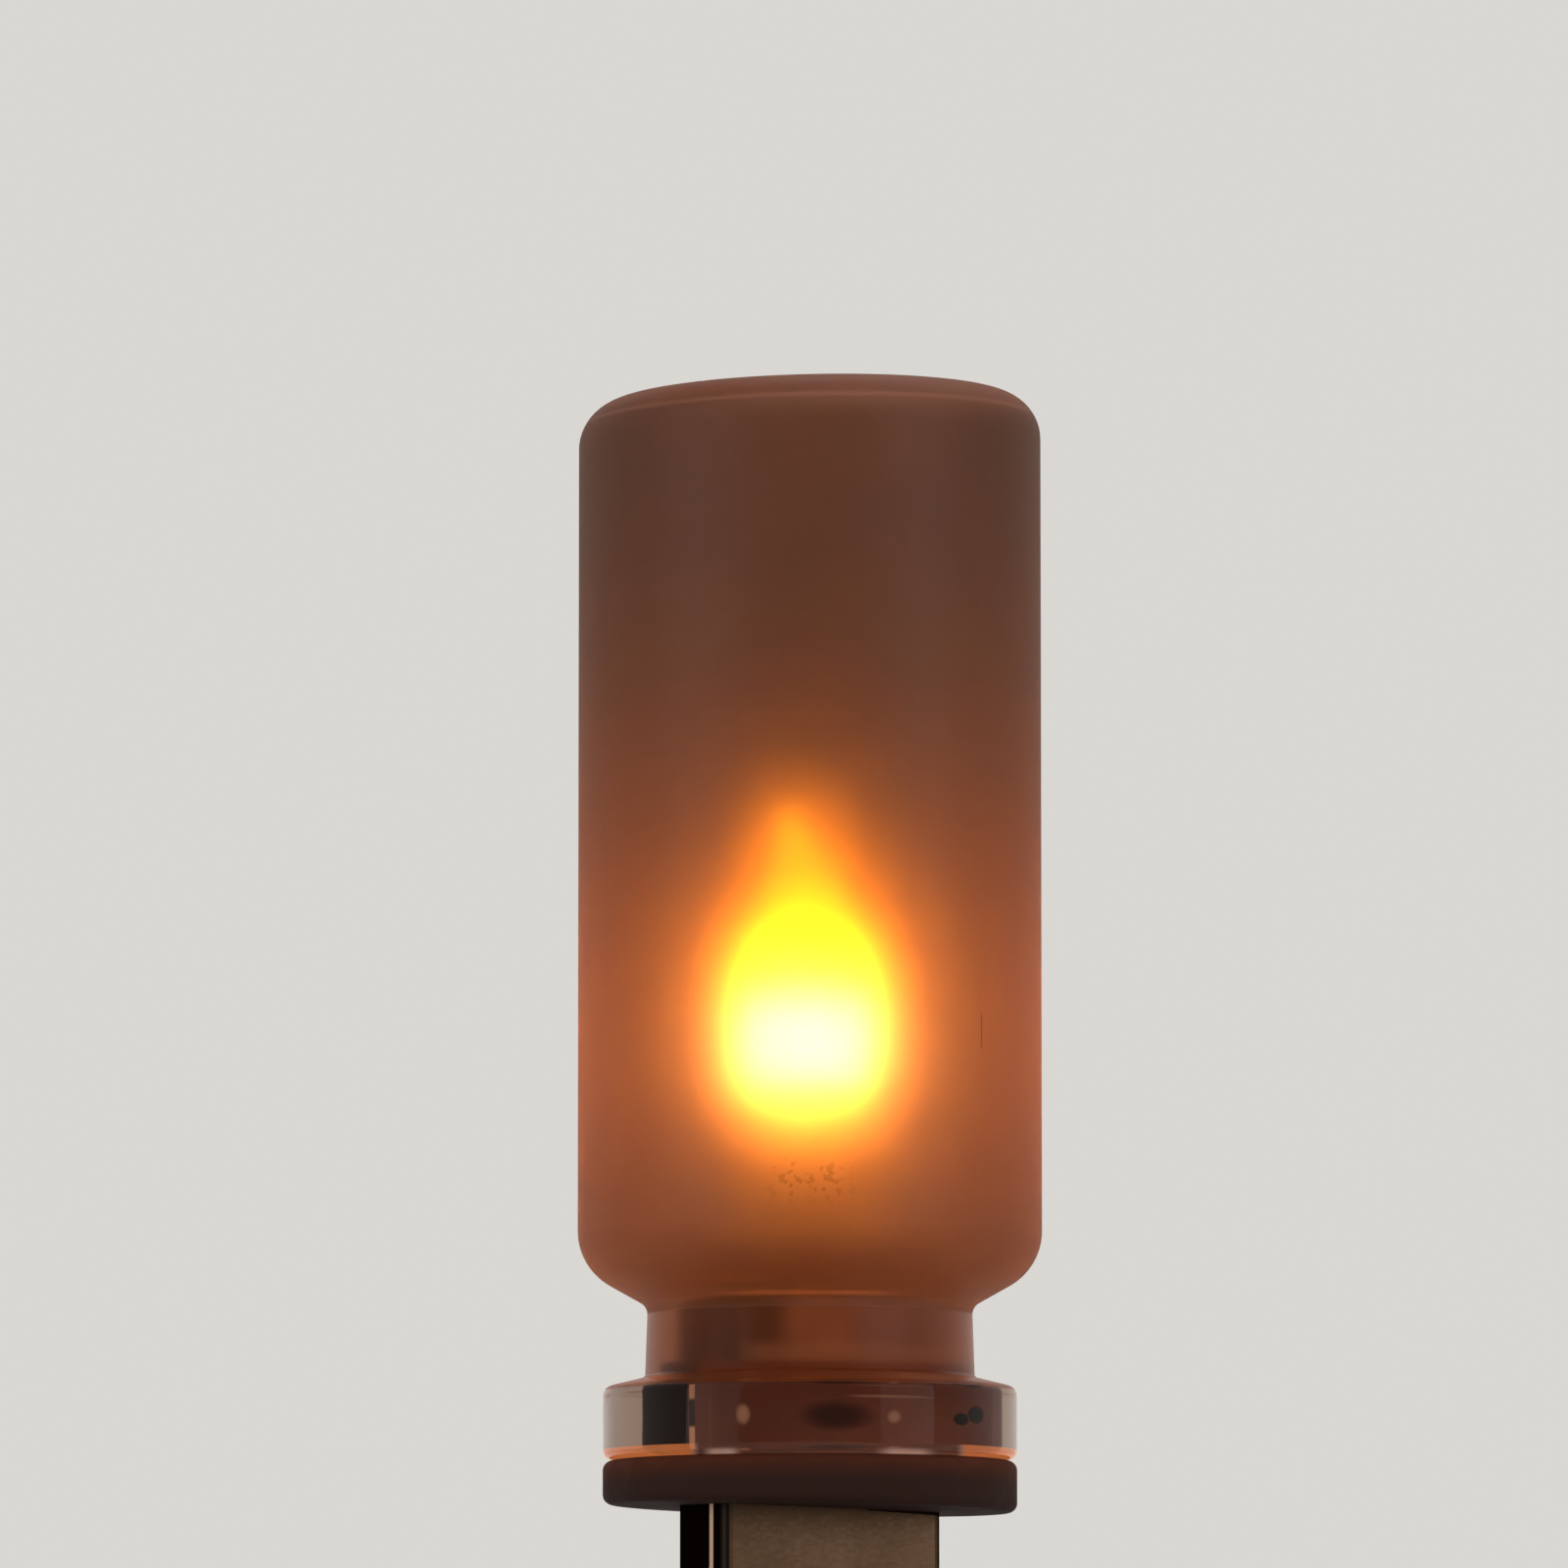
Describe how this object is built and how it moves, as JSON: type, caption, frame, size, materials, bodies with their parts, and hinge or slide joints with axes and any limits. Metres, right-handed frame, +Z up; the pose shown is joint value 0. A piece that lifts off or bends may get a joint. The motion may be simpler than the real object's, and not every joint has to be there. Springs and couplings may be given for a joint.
{
  "type": "flame effect led bulb",
  "caption": "Small plug-in lamp with a frosted bottle-shaped glass cover over a flame-shaped light, on a dark base disc with a flat metal plug.",
  "frame": {"origin": "centre of the plug's open end, the lowest point", "axes": "+Z up through the plug and the glass; the plug's broad faces look along +Y and -Y, and its width runs along X"},
  "size_m": [0.022, 0.022, 0.0651],
  "materials": {
    "frosted_glass": "frosted outside, polished at the foot",
    "clear_resin": "clear",
    "grey_plastic": "matte",
    "plated_steel": "plated, satin",
    "black_plastic": "moulded",
    "gold": "gold plated",
    "white_board": "white solder mask",
    "led_lens": "amber lens",
    "dark_ceramic": "glazed",
    "tan_ceramic": "fired ceramic",
    "milky_silicone": "milky, lit from inside"
  },
  "bodies": {
    "root": {"glass_cover": "frosted_glass", "clear_resin": "clear_resin", "base_disc": "grey_plastic", "plug_shell": "plated_steel", "plug_insulator": "black_plastic", "contact_outer_left": "gold", "contact_inner_left": "gold", "contact_inner_right": "gold", "contact_outer_right": "gold", "rear_block": "black_plastic", "lamp_board": "white_board", "controller_chip": "black_plastic", "resistor_left": "dark_ceramic", "resistor_right": "dark_ceramic", "capacitor": "tan_ceramic", "flame_diffuser": "milky_silicone", "led_front_1_1": "led_lens", "led_front_1_2": "led_lens", "led_front_2_1": "led_lens", "led_front_2_2": "led_lens", "led_front_2_3": "led_lens", "led_front_3_1": "led_lens", "led_front_3_2": "led_lens", "led_front_3_3": "led_lens", "led_front_4_1": "led_lens", "led_front_4_2": "led_lens", "led_front_5_1": "led_lens", "led_back_1_1": "led_lens", "led_back_1_2": "led_lens", "led_back_2_1": "led_lens", "led_back_2_2": "led_lens", "led_back_2_3": "led_lens", "led_back_3_1": "led_lens", "led_back_3_2": "led_lens", "led_back_3_3": "led_lens", "led_back_4_1": "led_lens", "led_back_4_2": "led_lens", "led_back_5_1": "led_lens"}
  },
  "joints": []
}
